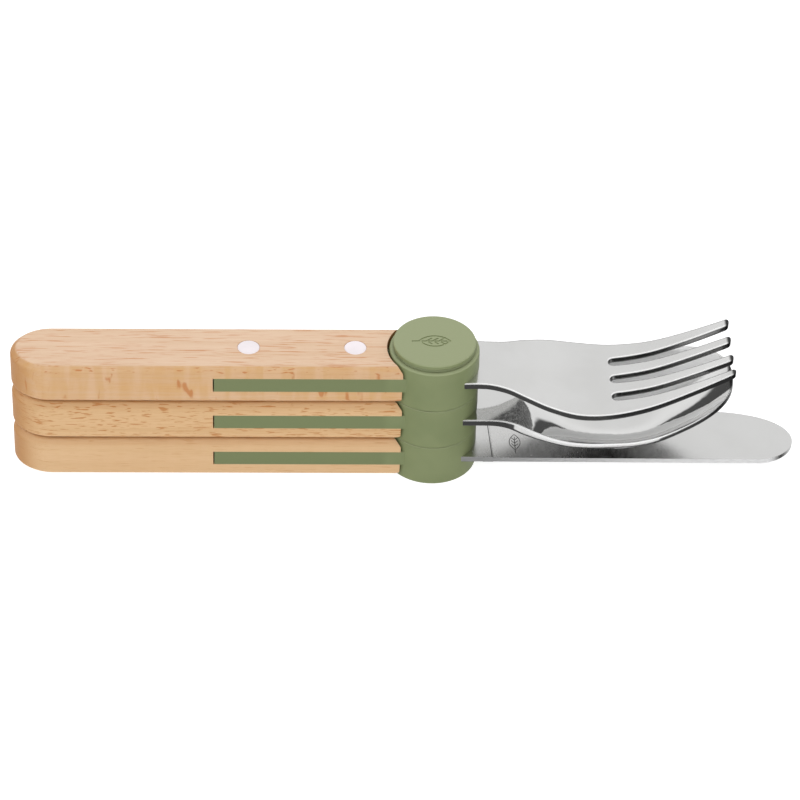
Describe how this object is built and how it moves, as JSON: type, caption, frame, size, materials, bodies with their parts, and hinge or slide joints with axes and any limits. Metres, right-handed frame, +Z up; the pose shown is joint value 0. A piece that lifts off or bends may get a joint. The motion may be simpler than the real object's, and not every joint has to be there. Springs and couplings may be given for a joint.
{
  "type": "nesting cutlery set",
  "caption": "Nesting picnic cutlery: fork, spoon and knife with wooden handles and round bosses that stack, fan out and lift apart.",
  "frame": {"origin": "bottom centre of the nested set's bounding box, on the surface it rests on", "axes": "+X from the handles towards the tips, +Z up through the stack along the boss axis, +Y towards the knife's cutting edge"},
  "size_m": [0.2, 0.0368, 0.0373],
  "materials": {
    "satin_steel": "satin ground stainless blade",
    "polished_steel": "polished stainless",
    "fork_steel": "fine satin to polished stainless",
    "green_polymer": "matt sage-green moulded polymer",
    "beech_knife": "oiled beech",
    "beech_spoon": "oiled beech",
    "beech_fork": "oiled beech",
    "ring_rubber": "dark green elastomer",
    "rivet_aluminium": "flush-ground aluminium"
  },
  "bodies": {
    "knife": {"knife_blade": "satin_steel", "knife_bolster": "green_polymer", "knife_handle": "beech_knife", "knife_front_rivet": "rivet_aluminium", "knife_rear_rivet": "rivet_aluminium"},
    "knife_ring": {"knife_grip_ring": "ring_rubber"},
    "spoon": {"spoon_bowl": "polished_steel", "spoon_bolster": "green_polymer", "spoon_handle": "beech_spoon", "spoon_front_rivet": "rivet_aluminium", "spoon_rear_rivet": "rivet_aluminium"},
    "spoon_ring": {"spoon_grip_ring": "ring_rubber"},
    "fork": {"fork_head": "fork_steel", "fork_bolster": "green_polymer", "fork_handle": "beech_fork", "fork_grip_ring": "ring_rubber", "fork_front_rivet": "rivet_aluminium", "fork_rear_rivet": "rivet_aluminium"}
  },
  "joints": [
    {"name": "spoon_swivel", "type": "hinge", "parent": "knife", "child": "knife_ring", "pos_m": [0.0069, 0, 0.012], "axis": [0, 0, 1], "range_deg": [-150, 150]},
    {"name": "spoon_lift", "type": "slide", "parent": "knife_ring", "child": "spoon", "axis": [0, 0, 1], "range_m": [0, 0.04]},
    {"name": "fork_swivel", "type": "hinge", "parent": "spoon", "child": "spoon_ring", "pos_m": [0.0069, 0, 0.0239], "axis": [0, 0, 1], "range_deg": [-145, 145]},
    {"name": "fork_lift", "type": "slide", "parent": "spoon_ring", "child": "fork", "axis": [0, 0, 1], "range_m": [0, 0.04]}
  ]
}
